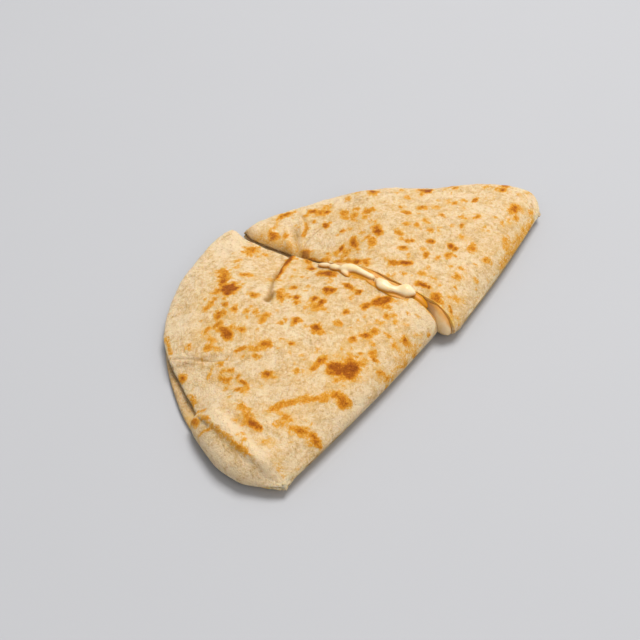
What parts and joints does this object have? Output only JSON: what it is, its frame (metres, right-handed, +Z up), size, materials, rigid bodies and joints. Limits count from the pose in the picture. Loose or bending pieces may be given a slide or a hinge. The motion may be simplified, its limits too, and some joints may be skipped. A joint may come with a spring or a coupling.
{
  "type": "quesadilla",
  "caption": "Folded flour tortilla with melted cheese inside, cut across into wedges that lie together as a half moon, with a run of cheese along the cut.",
  "frame": {"origin": "middle of the bounding box on the plane that the quesadilla lies on", "axes": "+X along the fold, from the near wedge to the far wedge; +Y from the fold towards the round rim; +Z up"},
  "size_m": [0.1864, 0.1066, 0.0183],
  "materials": {
    "tortilla": "floury toasted flour tortilla with brown blisters, matt",
    "cheese": "melted white cheese, soft and slightly glossy"
  },
  "bodies": {
    "root": {"near_tortilla": "tortilla", "near_cheese": "cheese", "far_tortilla": "tortilla", "far_cheese": "cheese", "cheese_run": "cheese"}
  },
  "joints": []
}
